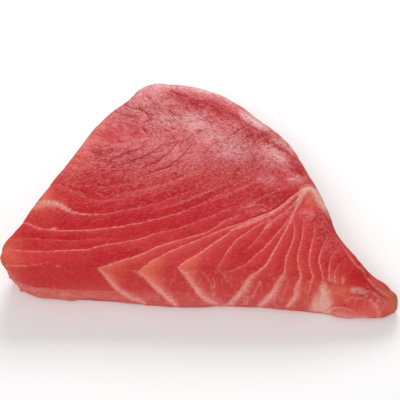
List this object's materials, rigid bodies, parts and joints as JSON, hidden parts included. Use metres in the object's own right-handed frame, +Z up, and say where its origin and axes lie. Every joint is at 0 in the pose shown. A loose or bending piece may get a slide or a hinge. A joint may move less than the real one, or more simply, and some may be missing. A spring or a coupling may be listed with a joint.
{
  "type": "raw tuna steak",
  "caption": "Thick raw tuna steak cut from a quarter loin, flat above and below, broad at the left and drawn out into a rounded tail at the right.",
  "frame": {"origin": "middle of the bounding box on the face that the steak lies on", "axes": "+X along the long straight front wall towards the tail, +Y away from that wall towards the blunt top corner of the plan, +Z up through the thickness"},
  "size_m": [0.1606, 0.1162, 0.023],
  "materials": {
    "flesh": "moist raw muscle, deep red with pale pink seams of connective tissue and a broad soft sheen"
  },
  "bodies": {
    "root": {"steak": "flesh"}
  },
  "joints": []
}
